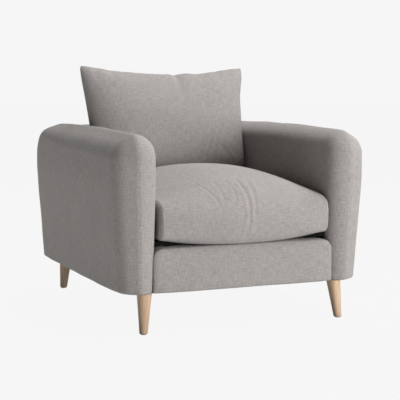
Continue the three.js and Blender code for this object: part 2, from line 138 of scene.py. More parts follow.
def make_world(sky):
    """A pale backdrop to look at, and a dim sky that lights the chair."""
    world = bpy.data.worlds.new("studio")
    bpy.context.scene.world = world
    world.use_nodes = True
    world.node_tree.nodes.clear()
    nodes = Nodes(world.node_tree)
    seen = nodes.add("ShaderNodeBackground", {"Color": PALE})
    light = nodes.add("ShaderNodeBackground", {"Strength": sky})
    by_eye = nodes.add("ShaderNodeLightPath").outputs["Is Camera Ray"]
    both = nodes.add("ShaderNodeMixShader", {"Fac": by_eye})
    nodes.put(both.inputs[1], light.outputs[0])
    nodes.put(both.inputs[2], seen.outputs[0])
    out = nodes.add("ShaderNodeOutputWorld")
    nodes.put(out.inputs["Surface"], both.outputs[0])


def flat_square(half):
    return [(-half, -half, 0), (half, -half, 0), (half, half, 0), (-half, half, 0)], [(0, 1, 2, 3)]


# ---------------------------------------------------------------- mesh helpers
def mesh_object(name, points, faces, smooth=True):
    mesh = bpy.data.meshes.new(name)
    mesh.from_pydata([tuple(map(float, p)) for p in points], [], faces)
    mesh.validate()
    mesh.polygons.foreach_set("use_smooth", [smooth] * len(mesh.polygons))
    made = bpy.data.objects.new(name, mesh)
    bpy.context.collection.objects.link(made)
    return made


def give(piece, material):
    piece.data.materials.clear()
    piece.data.materials.append(material)


def points_of(piece):
    at = np.empty(len(piece.data.vertices) * 3)
    piece.data.vertices.foreach_get("co", at)
    return at.reshape(-1, 3)


def set_points(piece, at):
    piece.data.vertices.foreach_set("co", np.ascontiguousarray(at).reshape(-1))
    piece.data.update()


def normals_of(piece):
    out = np.empty(len(piece.data.vertices) * 3)
    piece.data.vertices.foreach_get("normal", out)
    return out.reshape(-1, 3)


def grid_faces(rows, columns, wrap=False):
    """Quads of a grid of points that is stored row by row. wrap joins the last column to the first."""
    faces = []
    last = columns if wrap else columns - 1
    for low in range(0, (rows - 1) * columns, columns):
        high = low + columns
        for c in range(last):
            n = (c + 1) % columns
            faces.append((low + c, low + n, high + n, high + c))
    return faces


def climb(value, start, length):
    """0 up to a start, then evenly up to 1 over a length."""
    return np.clip((value - start) / length, 0, 1)


def apply_modifiers(piece):
    with bpy.context.temp_override(object=piece, active_object=piece, selected_objects=[piece]):
        for modifier in list(piece.modifiers):
            bpy.ops.object.modifier_apply(modifier=modifier.name)


def subdivide(piece):
    modifier = piece.modifiers.new("smooth", "SUBSURF")
    modifier.levels = modifier.render_levels = 1
    apply_modifiers(piece)


def smooth_noise(at, scale, seed=0.0):
    """One value between about -1 and 1 for each point."""
    return np.array([noise.noise(Vector(p) * scale + Vector((seed, seed, seed))) for p in at])


def put_back(piece, mesh):
    """Gives a piece its edited mesh, with every face turned outwards and shaded smooth."""
    bmesh.ops.recalc_face_normals(mesh, faces=mesh.faces)
    mesh.to_mesh(piece.data)
    mesh.free()
    piece.data.polygons.foreach_set("use_smooth", [True] * len(piece.data.polygons))


def join_rows(piece):
    """Joins points that lie on each other."""
    mesh = bmesh.new()
    mesh.from_mesh(piece.data)
    bmesh.ops.remove_doubles(mesh, verts=mesh.verts, dist=1e-6)
    put_back(piece, mesh)


def extrude_rim(mesh, rim):
    """New edges on the open rim, for their points to be moved."""
    made = bmesh.ops.extrude_edge_only(mesh, edges=rim)["geom"]
    return [g for g in made if isinstance(g, bmesh.types.BMEdge) and g.is_boundary]


SIMULATED_FRAMES = 20
UPHOLSTERY_CLOTH = {
    "quality": 5,
    "mass": 0.3,
    "air_damping": 2,
    "tension_stiffness": 15.0,
    "compression_stiffness": 15.0,
    "shear_stiffness": 5,
    "bending_stiffness": 0.8,
    "use_pressure": True,
}


def puff(piece, pressure, most, held, share):
    """Inflates a closed mesh as cloth, held at its seams.

    No point moves further than most, and share(at) says how much of its movement a point keeps.
    """
    start = points_of(piece)
    cloth = piece.modifiers.new("cloth", "CLOTH")
    for key, value in UPHOLSTERY_CLOTH.items():
        setattr(cloth.settings, key, value)
    cloth.settings.uniform_pressure_force = pressure
    cloth.settings.effector_weights.gravity = 0
    cloth.collision_settings.use_collision = False
    cloth.point_cache.frame_start = 1
    cloth.point_cache.frame_end = SIMULATED_FRAMES
    seam = piece.vertex_groups.new(name="seam")
    seam.add(np.flatnonzero(held(start)).tolist(), 1, "REPLACE")
    cloth.settings.vertex_group_mass = "seam"
    scene = bpy.context.scene
    for step in range(1, SIMULATED_FRAMES + 1):
        scene.frame_set(step)
    apply_modifiers(piece)
    scene.frame_set(1)
    moved = points_of(piece) - start
    length = np.linalg.norm(moved, axis=1, keepdims=True)
    tiny = 1e-9
    length[length < tiny] = tiny
    capped = moved * np.minimum(1, most * np.tanh(length / most) / length)
    set_points(piece, start + capped * share(start)[:, None])


# ---------------------------------------------------------------- materials
class Nodes:
    """A short way to write a node tree."""

    def __init__(self, tree):
        self.tree = tree

    def add(self, kind, inputs=None, **settings):
        node = self.tree.nodes.new(kind)
        for key, value in settings.items():
            setattr(node, key, value)
        for key, value in (inputs or {}).items():
            self.put(node.inputs[key], value)
        return node

    def put(self, socket, value):
        if hasattr(value, "is_output"):
            self.tree.links.new(value, socket)
        else:
            socket.default_value = value

    def math(self, operation, *values, clamp=False):
        node = self.add("ShaderNodeMath", operation=operation, use_clamp=clamp)
        for i, value in enumerate(values):
            self.put(node.inputs[i], value)
        return node.outputs[0]

    def noise(self, vector, scale, detail=2.0, roughness=0.5):
        node = self.add("ShaderNodeTexNoise", {"Vector": vector, "Scale": scale, "Detail": detail})
        node.inputs["Roughness"].default_value = roughness
        return node.outputs[0]

    def stretch(self, vector, scale):
        return self.add("ShaderNodeMapping", {"Vector": vector, "Scale": scale}).outputs[0]

    def split(self, vector):
        return self.add("ShaderNodeSeparateXYZ", {"Vector": vector}).outputs

    def mix(self, first, share, second, other_share):
        """first * share + second * other_share"""
        first = self.math("MULTIPLY", first, share)
        return self.math("ADD", first, self.math("MULTIPLY", second, other_share))

    def bump(self, height, strength, distance):
        node = self.add("ShaderNodeBump", {"Height": height, "Strength": strength, "Distance": distance})
        return node.outputs[0]

    def ramp(self, factor, stops):
        node = self.add("ShaderNodeValToRGB", {"Fac": factor})
        for i, (at, colour) in enumerate(stops):
            element = node.color_ramp.elements[i] if i < 2 else node.color_ramp.elements.new(at)
            element.position = at
            element.color = (*colour, 1)
        return node.outputs[0]


def new_material(name):
    material = bpy.data.materials.new(name)
    material.use_nodes = True
    material.node_tree.nodes.clear()
    nodes = Nodes(material.node_tree)
    shader = nodes.add("ShaderNodeBsdfPrincipled")
    out = nodes.add("ShaderNodeOutputMaterial")
    material.node_tree.links.new(shader.outputs[0], out.inputs[0])
    return material, nodes, shader


def floor_material():
    material, nodes, shader = new_material("pale_floor")
    shader.inputs["Base Color"].default_value = (0.01, 0.01, 0.01, 1)
    shader.inputs["Roughness"].default_value = 1.0
    shader.inputs["Specular IOR Level"].default_value = 0.0
    shader.inputs["Emission Color"].default_value = PALE
    shader.inputs["Emission Strength"].default_value = 0.992
    return material


def bounce_material():
    """Light thrown back by the floor, weaker in the shade under the chair."""
    shaded, open_floor, edge = 0.10, 0.96, 0.12
    material, nodes, shader = new_material("floor_bounce")
    place = nodes.split(nodes.add("ShaderNodeTexCoord").outputs["Object"])
    past = []
    for i in range(2):
        beyond = nodes.math("SUBTRACT", nodes.math("ABSOLUTE", place[i]), CAD_BOX[1][i])
        past.append(nodes.math("MAXIMUM", beyond, 0.0))
    away = nodes.math("ADD", *past)
    lit = nodes.math("DIVIDE", away, edge, clamp=True)
    glow = nodes.math("ADD", shaded, nodes.math("MULTIPLY", lit, open_floor))
    shader.inputs["Base Color"].default_value = (0, 0, 0, 1)
    shader.inputs["Emission Color"].default_value = (1, 1, 1, 1)
    nodes.put(shader.inputs["Emission Strength"], glow)
    return material


def weave_group():
    """A node group: the height and the tone of a plain weave at (U, V) in metres."""
    tree = bpy.data.node_groups.new("weave_plane", "ShaderNodeTree")
    for name in ("U", "V"):
        tree.interface.new_socket(name, in_out="INPUT", socket_type="NodeSocketFloat")
    for name in ("Height", "Tone"):
        tree.interface.new_socket(name, in_out="OUTPUT", socket_type="NodeSocketFloat")
    nodes = Nodes(tree)
    inside = nodes.add("NodeGroupInput")
    u, v = inside.outputs["U"], inside.outputs["V"]
    pitch = 0.0016
    lengthways, sideways = 38, 350  # how fast a thread's tone varies, per metre
    waves = [nodes.math("SINE", nodes.math("MULTIPLY", axis, math.pi / pitch)) for axis in (u, v)]
    crossing = nodes.math("MULTIPLY", *waves)
    ridge = nodes.math("ABSOLUTE", crossing)
    over = nodes.math("GREATER_THAN", crossing, 0.0)
    height = nodes.math("ADD", ridge, nodes.math("MULTIPLY", over, 0.25))
    flat = nodes.add("ShaderNodeCombineXYZ", {"X": u, "Y": v}).outputs[0]
    across = nodes.noise(nodes.stretch(flat, (lengthways, sideways, 1)), 1.0, 3.0, 0.65)
    along = nodes.noise(nodes.stretch(flat, (sideways, lengthways, 1)), 1.0, 3.0, 0.65)
    speck = nodes.noise(flat, 380.0, 2.0, 0.6)
    tone = nodes.mix(nodes.math("ADD", across, along), 0.42, speck, 0.16)
    out = nodes.add("NodeGroupOutput")
    tree.links.new(height, out.inputs["Height"])
    tree.links.new(tone, out.inputs["Tone"])
    return tree


WEAVE = weave_group()
FABRIC_COLOUR = (0.290, 0.269, 0.257)


def fabric_material(name, colour=FABRIC_COLOUR, lustre=1.0):
    """The weave laid on a piece from its three sides, each as strong as the surface faces that way."""
    contrast, sharpness = 0.38, 6.0
    material, nodes, shader = new_material(name)
    place = nodes.add("ShaderNodeTexCoord").outputs["Object"]
    world_normal = nodes.add("ShaderNodeNewGeometry").outputs["Normal"]
    turned = nodes.add("ShaderNodeVectorTransform", {"Vector": world_normal})
    turned.vector_type = "NORMAL"
    turned.convert_from, turned.convert_to = "WORLD", "OBJECT"
    at = nodes.split(place)
    facing = nodes.split(turned.outputs[0])
    weights = [nodes.math("POWER", nodes.math("ABSOLUTE", facing[i]), sharpness) for i in range(3)]
    total = nodes.math("ADD", nodes.math("ADD", weights[0], weights[1]), weights[2])
    height, tone = 0.0, 0.0
    for weight, (u, v) in zip(weights, ((1, 2), (0, 2), (0, 1))):
        plane = nodes.add("ShaderNodeGroup", node_tree=WEAVE)
        nodes.put(plane.inputs["U"], at[u])
        nodes.put(plane.inputs["V"], at[v])
        share = nodes.math("DIVIDE", weight, total)
        height = nodes.math("ADD", nodes.math("MULTIPLY", plane.outputs["Height"], share), height)
        tone = nodes.math("ADD", nodes.math("MULTIPLY", plane.outputs["Tone"], share), tone)
    patches = nodes.noise(place, 7.0, 3.0)
    dark = tuple(c * (1 - contrast) for c in colour)
    light = tuple(min(1.0, c * (1 + contrast)) for c in colour)
    shade = nodes.ramp(nodes.mix(tone, 0.93, patches, 0.07), [(0.33, dark), (0.67, light)])
    nodes.put(shader.inputs["Base Color"], shade)
    shader.inputs["Roughness"].default_value = 0.92
    shader.inputs["Specular IOR Level"].default_value = 0.2 * lustre
    shader.inputs["Sheen Weight"].default_value = 0.12 * lustre
    shader.inputs["Sheen Roughness"].default_value = 0.5
    relief = nodes.mix(height, 0.6, tone, 1.2)
    nodes.put(shader.inputs["Normal"], nodes.bump(relief, 0.35, 0.0008))
    return material


def wood_material(name, light, dark, grain=1.0, roughness=0.5, along="Z"):
    """Growth rings and pores, both drawn out along one axis."""
    material, nodes, shader = new_material(name)
    place = nodes.add("ShaderNodeTexCoord").outputs["Object"]
    ring_scale = [1.2 if axis == along else 30 for axis in "XYZ"]
    pore_scale = [9 if axis == along else 420 for axis in "XYZ"]
    warp = nodes.noise(place, 5.0, 2.0)
    bent = nodes.add("ShaderNodeVectorMath", operation="ADD")
    nodes.put(bent.inputs[0], nodes.stretch(place, ring_scale))
    nodes.put(bent.inputs[1], nodes.add("ShaderNodeCombineXYZ", {"X": warp, "Y": warp}).outputs[0])
    rings = nodes.noise(bent.outputs[0], 2.2, 4.0, 0.6)
    pores = nodes.noise(nodes.stretch(place, pore_scale), 1.0, 2.0, 0.5)
    spread = 0.16 * grain
    shade = nodes.ramp(nodes.mix(rings, 0.7, pores, 0.3), [(0.5 - spread, dark), (0.5 + spread, light)])
    nodes.put(shader.inputs["Base Color"], shade)
    shader.inputs["Roughness"].default_value = roughness
    shader.inputs["Coat Weight"].default_value = 0.08
    nodes.put(shader.inputs["Normal"], nodes.bump(pores, 0.15, 0.0004))
    return material


def plain_material(name, colour, roughness, metallic=0.0):
    """Metal or plastic with a fine uneven grain."""
    speckle, per_metre = 0.1, 300.0
    material, nodes, shader = new_material(name)
    place = nodes.add("ShaderNodeTexCoord").outputs["Object"]
    grains = nodes.noise(place, per_metre, 3.0, 0.6)
    dark = tuple(c * (1 - speckle) for c in colour)
    light = tuple(min(1.0, c * (1 + speckle)) for c in colour)
    nodes.put(shader.inputs["Base Color"], nodes.ramp(grains, [(0.35, dark), (0.65, light)]))
    shader.inputs["Roughness"].default_value = roughness
    shader.inputs["Metallic"].default_value = metallic
    nodes.put(shader.inputs["Normal"], nodes.bump(grains, 0.1, 0.0003))
    return material


# ---------------------------------------------------------------- padded covers
EDGE_STEP = 0.011  # roughly how far apart the points of a padded edge are


def rounding(steps, slope=0.0, straight=0.0):
    """The profile of a rounded edge: pairs of how far in and how far up it is, each from 0 to 1.

    It sets off at a slope, keeps it for a share of its length, and then turns evenly to a right angle.
    """
    crowding = 1.2  # over 1, the steps are shorter near the edge
    along = ((np.arange(steps) + 0.5) / steps) ** crowding
    angle = slope + (math.pi / 2 - slope) * climb(along, straight, 1 - straight)
    step = np.diff(np.linspace(0, 1, steps + 1) ** crowding)
    inset = np.concatenate([[0], np.cumsum(np.sin(angle) * step)])
    rise = np.concatenate([[0], np.cumsum(np.cos(angle) * step)])
    return list(zip(inset / inset[-1], rise / rise[-1]))


def fan_surface(edge, inward, spine, depth, profile, fans, lift, shoulder=0.0):
    """Rows of points from a padded edge, over its rounding, to a spine.

    edge, inward, spine: arrays of 2-D points, one for each step along the edge.
    depth: how far in the rounding reaches at each step. lift(flat, rise, share): height over the seam.
    shoulder: how far the edge moves sideways by the time that it reaches the face.
    """
    rows = []
    for inset, rise in profile:
        rows.append((edge + shoulder * rise + inward * (depth * inset)[:, None], rise, 0.0))
    start = rows[-1][0]
    for i in range(1, fans + 1):
        share = i / fans
        rows.append((start * (1 - share) + spine * share, 1.0, share))
    return [(flat, lift(flat, rise, share)) for flat, rise, share in rows]


def edge_line(parts):
    """Points along straight and round parts, with their inward normals.

    A part is ("line", start, end) or ("arc", centre, radius, first angle, last angle).
    """
    line = []
    for part in parts:
        kind, *numbers = part
        if kind == "line":
            (y0, z0), (y1, z1) = numbers
            steps = max(2, round(math.hypot(y1 - y0, z1 - z0) / EDGE_STEP))
            line += [(y0 + (y1 - y0) * i / steps, z0 + (z1 - z0) * i / steps) for i in range(steps)]
        else:
            (yc, zc), radius, first, last = numbers
            steps = max(6, round(abs(last - first) * radius / EDGE_STEP))
            for i in range(steps):
                turn = first + (last - first) * i / steps
                line.append((yc + radius * math.cos(turn), zc + radius * math.sin(turn)))
    line.append(parts[-1][2])
    line = np.array(line)
    along = np.gradient(line, axis=0)
    along /= np.linalg.norm(along, axis=1, keepdims=True)
    return line, np.stack([along[:, 1], -along[:, 0]], axis=1)


COVER_EDGE = UNDERSIDE + 0.006  # where a cover's lower edge starts to turn in
SPINE_HALF = 0.26  # half the length of the line that a padded face's rows run down to

ARM = {
    "front": -0.487,
    "lean": 0.018,  # how far the front leans out on its way up
    "front_round": 0.078,
    "rear_round": 0.118,
    "top": 0.655,
    "level": (-0.1, 0.15),  # y where the top starts and stops being level
    "front_drop": 0.008,
    "rear_drop": 0.004,
    "inside": (0.3165, 0.3115),  # x at the bottom, and from flare_top upwards
    "outside": (0.434, 0.4575),
    "flare_top": 0.482,
    "middle": 0.374,
}


def arm_sides(z):
    """x of the inner and outer faces at height z."""
    up = climb(z, UNDERSIDE, ARM["flare_top"] - UNDERSIDE)
    inside = ARM["inside"][0] + (ARM["inside"][1] - ARM["inside"][0]) * up
    outside = ARM["outside"][0] + (ARM["outside"][1] - ARM["outside"][0]) * up
    return inside, outside


def arm_edge():
    """The arm's side outline, from the foot of the front, over the top, to the foot of the rear."""
    front, top, rear_top = ARM["front"], ARM["top"], ARM["top"] - ARM["rear_drop"]
    nose, low_top = front - ARM["lean"], top - ARM["front_drop"]
    r1, r2 = ARM["front_round"], ARM["rear_round"]
    level_from, level_to = ARM["level"]
    return edge_line([
        ("line", (front, COVER_EDGE), (nose, low_top - r1)),
        ("arc", (nose + r1, low_top - r1), r1, math.pi, math.pi / 2),
        ("line", (nose + r1, low_top), (level_from, top)),
        ("line", (level_from, top), (level_to, top)),
        ("line", (level_to, top), (REAR - r2, rear_top)),
        ("arc", (REAR - r2, rear_top - r2), r2, math.pi / 2, 0),
        ("line", (REAR, rear_top - r2), (REAR, COVER_EDGE)),
    ])


def arm_cover(side_name):
    """A padded arm in two halves, which meet at a seam half way between its inner and outer faces."""
    side = SIDES[side_name]
    edge, inward = arm_edge()
    count = len(edge)
    spine = spine_line(count, COVER_EDGE)
    at_rear = climb(edge[:, 0], 0.1, 0.3)
    on_top = climb(edge[:, 1], 0.5, 0.1)
    # behind the inside back the inner half stays square, so that no gap opens beside it
    square = at_rear * np.clip((0.625 - edge[:, 1]) / 0.03, 0, 1)
    shoulder = np.stack([(REAR - edge[:, 0]) * square, np.zeros(count)], axis=1)

    def half_rows(outward, depth, top_depth, rear_depth, profile, bow, shoulder):
        depth = depth * (1 - on_top) + top_depth * on_top
        depth = depth * (1 - at_rear) + rear_depth * at_rear

        def lift(flat, rise, inner_share):
            inside, outside = arm_sides(flat[:, 1])
            middle = (inside + outside) / 2
            half = (outside - inside) / 2
            return middle + outward * (half * rise + bow * inner_share * (2 - inner_share))

        faces = fan_surface(edge, inward, spine, depth, profile, 16, lift, shoulder)
        return [np.column_stack([x, flat]) for flat, x in faces]

    inner_rear = 0.009 + 0.045 * on_top * (1 - square)
    outer_rear = 0.034 + 0.008 * on_top
    rows = half_rows(-1, 0.052, 0.056, inner_rear, rounding(16), 0.0, shoulder)[::-1]
    rows += half_rows(1, 0.070, 0.085, outer_rear, rounding(16, math.radians(33), 0.35), 0.004, 0.0)[1:]
    points = np.concatenate(rows)
    points[:, 0] *= side
    points[:, 1] += CENTRING
    piece = mesh_object(f"{side_name}_arm_cover", points, grid_faces(len(rows), count))
    join_rows(piece)
    tuck_under(piece)
    soften(piece, 0.0016, 9.0, seed=3.0 + side)
    pinch_seam(piece, lambda at: np.abs(at[:, 0]) - sum(arm_sides(at[:, 2])) / 2, 0.0017, 0.0018)
    return piece


def spine_line(count, z):
    """A level line with one point for each point of a padded edge."""
    return np.stack([-SPINE_HALF + 2 * SPINE_HALF * np.linspace(0, 1, count), np.full(count, z)], axis=1)


# how far in and how far down each step of a turned-in lower edge is
ARM_TUCK = ((0.0008, 0.0025), (0.0025, 0.0045), (0.006, 0.0060), (0.028, 0.0060))
RAIL_TUCK = ((0.0015, 0.0035), (0.0045, 0.0020), (0.020, 0.0005))


def outward_at(vert):
    """The level direction away from an arm's inside, for a point on its lower rim."""
    flat = Vector((vert.normal.x, vert.normal.y, 0))
    if flat.length < 0.3:
        middle = ARM["middle"] * (1 if vert.co.x > 0 else -1)
        flat = Vector((vert.co.x - middle, vert.co.y * 0.3, 0))
    return flat.normalized()


def tuck_under(piece):
    """Rounds an arm's open lower edge and turns it in under the frame."""
    mesh = bmesh.new()
    mesh.from_mesh(piece.data)
    mesh.normal_update()
    rim = [e for e in mesh.edges if e.is_boundary]
    base = {v: (v.co.copy(), outward_at(v)) for e in rim for v in e.verts}
    for inward, down in ARM_TUCK:
        rim = extrude_rim(mesh, rim)
        fresh = {}
        for vert in (v for e in rim for v in e.verts):
            if vert not in fresh:
                fresh[vert] = base[min(base, key=lambda b: (b.co - vert.co).length_squared)]
        for vert, (start, out) in fresh.items():
            vert.co = start - out * inward + Vector((0, 0, -down))
        base = fresh
    put_back(piece, mesh)


def soften(piece, size, scale, seed):
    """Gives a padded surface slight unevenness."""
    at = points_of(piece)
    set_points(piece, at + normals_of(piece) * (size * smooth_noise(at, scale, seed))[:, None])


def pinch_seam(piece, distance, depth, width):
    """Draws the surface in along a seam, with slight puckers beside it."""
    pucker_height = 0.0006
    at = points_of(piece)
    away = distance(at)
    line = bell(away, width)
    beside = bell(away, width * 5)
    pucker = smooth_noise(at * np.array([0.2, 1, 1]), 55.0, 9.0)
    shift = -depth * line * (1 + 0.3 * pucker) + pucker_height * pucker * beside
    set_points(piece, at + normals_of(piece) * shift[:, None])


def fold(piece, line, depth, width):
    """Presses one soft fold into a surface. line(at) gives the sideways distance and the strength."""
    at = points_of(piece)
    aside, strength = line(at)
    valley = bell(aside, width)
    ridges = bell(np.abs(aside) - 1.7 * width, width)
    set_points(piece, at + normals_of(piece) * (depth * strength * (0.6 * ridges - valley))[:, None])


def bell(away, width):
    """1 at the middle, falling smoothly to nearly nothing at twice the width."""
    return np.exp(-((away / width) ** 2))


def fade(value, low, high, edge):
    """1 between low and high, falling smoothly to 0 over edge on both sides."""
    up = np.clip((value - low) / edge + 1, 0, 1)
    down = np.clip((high - value) / edge + 1, 0, 1)
    return (up * up * (3 - 2 * up)) * (down * down * (3 - 2 * down))


# ---------------------------------------------------------------- front rail and back
def rail_cover():
    """The padded front rail: a pillow-fronted bar with rounded upper corners."""
    half, high, corner = 0.3265, 0.2765, 0.036
    front, edge_back, swell, depth = -0.4790, 0.0105, 0.005, 0.026
    edge, inward = edge_line([
        ("line", (-half, COVER_EDGE), (-half, high - corner)),
        ("arc", (-half + corner, high - corner), corner, math.pi, math.pi / 2),
        ("line", (-half + corner, high), (half - corner, high)),
        ("arc", (half - corner, high - corner), corner, math.pi / 2, 0),
        ("line", (half, high - corner), (half, COVER_EDGE)),
    ])
    count = len(edge)

    def lift(flat, rise, inner_share):
        return front + edge_back * (1 - rise) - swell * inner_share * (2 - inner_share)

    rows = []
    for y, narrower in ((-0.400, 0.0125), (-0.440, 0.0125), (-0.458, 0.0060)):
        x = np.clip(edge[:, 0], narrower - half, half - narrower)
        rows.append(np.column_stack([x, np.full(count, y), edge[:, 1]]))
    spine = spine_line(count, COVER_EDGE)
    for flat, y in fan_surface(edge, inward, spine, np.full(count, depth), rounding(10), 12, lift):
        rows.append(np.column_stack([flat[:, 0], np.full(count, y), flat[:, 1]]))
    points = np.concatenate(rows)
    points[:, 1] += CENTRING
    piece = mesh_object("front_rail_cover", points, grid_faces(len(rows), count))
    join_rows(piece)
    tuck_front(piece)
    soften(piece, 0.0014, 8.0, seed=1.0)
    return piece


def tuck_front(piece):
    """Turns the lower edge of the rail's cover in under the frame."""
    mesh = bmesh.new()
    mesh.from_mesh(piece.data)
    close = 1e-5
    rim = [e for e in mesh.edges if e.is_boundary and all(abs(v.co.z - COVER_EDGE) < close for v in e.verts)]
    for back, down in RAIL_TUCK:
        rim = extrude_rim(mesh, rim)
        for vert in {v for e in rim for v in e.verts}:
            vert.co += Vector((0, back, -down))
    put_back(piece, mesh)


RECLINE = math.tan(math.radians(14))


def back_face(z):
    """y of the padded face that the back cushion leans on."""
    return 0.303 + (z - 0.445) * RECLINE


def sweep_between_arms(name, outline, half, soft=0.012, stations=60):
    """A side outline pulled from arm to arm, with its ends rounded over."""
    outline = np.array(outline)
    middle = (outline.min(axis=0) + outline.max(axis=0)) / 2
    size = outline.max(axis=0) - outline.min(axis=0)
    rows = []
    for i in range(stations + 1):
        share = i / stations
        x = -half + 2 * half * (0.5 - 0.5 * math.cos(math.pi * share))
        shrink = 1 - end_inset(x, half, soft) * 2 / size
        flat = middle + (outline - middle) * shrink
        rows.append(np.column_stack([np.full(len(flat), x), flat]))
    points = np.concatenate(rows)
    points[:, 1] += CENTRING
    faces = grid_faces(len(rows), len(outline), wrap=True)
    faces += [tuple(range(len(outline))), tuple(range(len(points) - len(outline), len(points)))]
    piece = mesh_object(name, points, faces)
    join_rows(piece)
    return piece


def end_inset(x, half, soft):
    """How far in a quarter-round end of radius soft has brought the surface at x."""
    into = max(0.0, 1 - (half - abs(x)) / soft)
    return soft * (1 - math.sqrt(max(0.0, 1 - into ** 2)))


def smooth_loop(corners, steps):
    """A smooth closed line through a few points."""
    corners = np.array(corners)
    line = []
    count = len(corners)
    for i in range(count):
        a, b, c, d = (corners[(i + k) % count] for k in (-1, 0, 1, 2))
        for j in range(steps):
            t = j / steps
            line.append(0.5 * (2 * b + (c - a) * t + (2 * a - 5 * b + 4 * c - d) * t ** 2
                               + (3 * b - a - 3 * c + d) * t ** 3))
    return even_loop(np.array(line), count * steps)


def even_loop(line, count):
    """The same closed line with evenly spaced points."""
    closed = np.vstack([line, line[:1]])
    along = np.concatenate([[0], np.cumsum(np.linalg.norm(np.diff(closed, axis=0), axis=1))])
    at = np.linspace(0, along[-1], count, endpoint=False)
    return np.stack([np.interp(at, along, closed[:, k]) for k in range(2)], axis=1)


BACK_HALF = 0.3125


def inside_back_cover():
    """The padded back between the arms: its leaning face, its rounded top and its hidden rear."""
    low, top = INSIDE_BACK_FOOT, 0.643
    outline = [
        (back_face(low), low),
        (back_face(0.45) - 0.004, 0.45),
        (back_face(0.58) - 0.004, 0.58),
        (back_face(0.617), 0.617),
        (back_face(0.62) + 0.022, 0.639),
        (0.420, top + 0.001),
        (0.462, top - 0.003),
        (REAR - 0.003, 0.625),
        (REAR, 0.600),
        (0.462, 0.600),
        (0.440, 0.602),
        (0.380, 0.560),
        (0.330, 0.40),
        (back_face(low) + 0.04, low),
    ]
    piece = sweep_between_arms("inside_back_cover", smooth_loop(outline, 12), BACK_HALF)
    soften(piece, 0.0018, 7.0, seed=5.0)
    return piece


def outside_back_cover():
    """A plain panel that is stretched over the rear, and bows out slightly."""
    inner, edge, face, bowed = REAR - 0.012, REAR - 0.004, REAR - 0.0005, REAR + 0.0015
    top = 0.5985
    outline = [
        (inner, UNDERSIDE), (edge, UNDERSIDE), (face, 0.150), (bowed, 0.36),
        (face, 0.590), (edge, top), (inner, top), (inner, 0.36),
    ]
    piece = sweep_between_arms("outside_back_cover", smooth_loop(outline, 14), BACK_HALF, soft=0.004)
    soften(piece, 0.0012, 6.0, seed=6.0)
    return piece


# ---------------------------------------------------------------- cushions
# side outlines of the seat cushion, as y and z: at its middle, and at its ends
SEAT_MIDDLE = [
    (0.262, 0.360), (0.256, 0.418), (0.215, 0.450), (0.130, 0.487), (0.020, 0.509), (-0.110, 0.516),
    (-0.240, 0.508), (-0.350, 0.488), (-0.432, 0.458), (-0.480, 0.420), (-0.501, 0.374), (-0.501, 0.326),
    (-0.486, 0.289), (-0.446, 0.277), (-0.250, 0.290), (0.000, 0.299), (0.220, 0.300), (0.255, 0.312),
]
SEAT_EDGE = [
    (0.256, 0.360), (0.252, 0.408), (0.225, 0.424), (0.130, 0.437), (0.020, 0.445), (-0.110, 0.448),
    (-0.240, 0.443), (-0.350, 0.434), (-0.438, 0.425), (-0.473, 0.411), (-0.483, 0.382), (-0.483, 0.338),
    (-0.476, 0.311), (-0.446, 0.301), (-0.250, 0.300), (0.000, 0.300), (0.220, 0.300), (0.250, 0.312),
]
SEAT = {
    "half": 0.3085,
    "offset": 0.003,  # x of its middle
    "soft": 0.011,  # radius of its end edges
    "crown": 2.3,  # the higher, the longer the middle outline holds on its way to the ends
}


def seat_cushion():
    """The crowned cushion, swept from end to end and closed by a flat panel at each end."""
    steps, stations = 9, 110
    middle, side = smooth_loop(SEAT_MIDDLE, steps), smooth_loop(SEAT_EDGE, steps)
    half = SEAT["half"]
    rows = []
    for i in range(stations + 1):
        share = 2 * i / stations - 1
        share = 0.8 * share + 0.2 * math.sin(share * math.pi / 2)
        x = half * share
        weight = abs(share) ** SEAT["crown"]
        flat = shrink_loop(middle * (1 - weight) + side * weight, end_inset(x, half, SEAT["soft"]))
        rows.append(np.column_stack([np.full(len(flat), x + SEAT["offset"]), flat]))
    rows = side_panel(rows[0])[::-1] + rows + side_panel(rows[-1])
    points = np.concatenate(rows)
    points[:, 1] += CENTRING
    count = len(middle)
    faces = grid_faces(len(rows), count, wrap=True)
    faces += [tuple(range(count)), tuple(range(len(points) - count, len(points)))]
    piece = mesh_object("seat_cushion_cover", points, faces)
    join_rows(piece)
    return piece


def seat_ends(at):
    held = 0.03
    return np.abs(at[:, 0] - SEAT["offset"]) > SEAT["half"] - held


# each fold's x at the top, half way and at the bottom, the z where it ends, and its depth
SEAT_FOLDS = [
    (-0.145, -0.110, -0.098, 0.400, 0.0010),
    (-0.078, -0.076, -0.090, 0.400, 0.0008),
    (-0.034, -0.030, -0.046, 0.410, 0.0007),
    (0.008, 0.006, -0.010, 0.310, 0.0015),
    (0.044, 0.034, 0.022, 0.375, 0.0010),
]


def crease_seat(piece):
    """Soft upright folds over the rounded front, and a seam round each end."""
    start, width = 0.478, 0.0065
    for top, middle, bottom, end, depth in SEAT_FOLDS:
        def line(at):
            up = climb(at[:, 2], end, start - end)
            x = bottom * (1 - up) ** 2 + (4 * middle - bottom - top) * up * (1 - up) + top * up ** 2
            front = np.clip((-0.25 - at[:, 1]) / 0.08, 0, 1)
            return at[:, 0] - x, fade(at[:, 2], end + 0.01, start - 0.008, 0.022) * front
        fold(piece, line, depth, width)

    def corner(at):
        edge = SEAT["half"] - 0.5 * SEAT["soft"]
        return np.abs(at[:, 0] - SEAT["offset"]) - edge

    pinch_seam(piece, corner, 0.0014, 0.0026)


def shrink_loop(flat, inset):
    """A closed outline moved in by an equal distance all round."""
    if inset <= 0:
        return flat
    along = np.roll(flat, -1, axis=0) - np.roll(flat, 1, axis=0)
    along /= np.linalg.norm(along, axis=1, keepdims=True)
    return flat + np.stack([-along[:, 1], along[:, 0]], axis=1) * inset


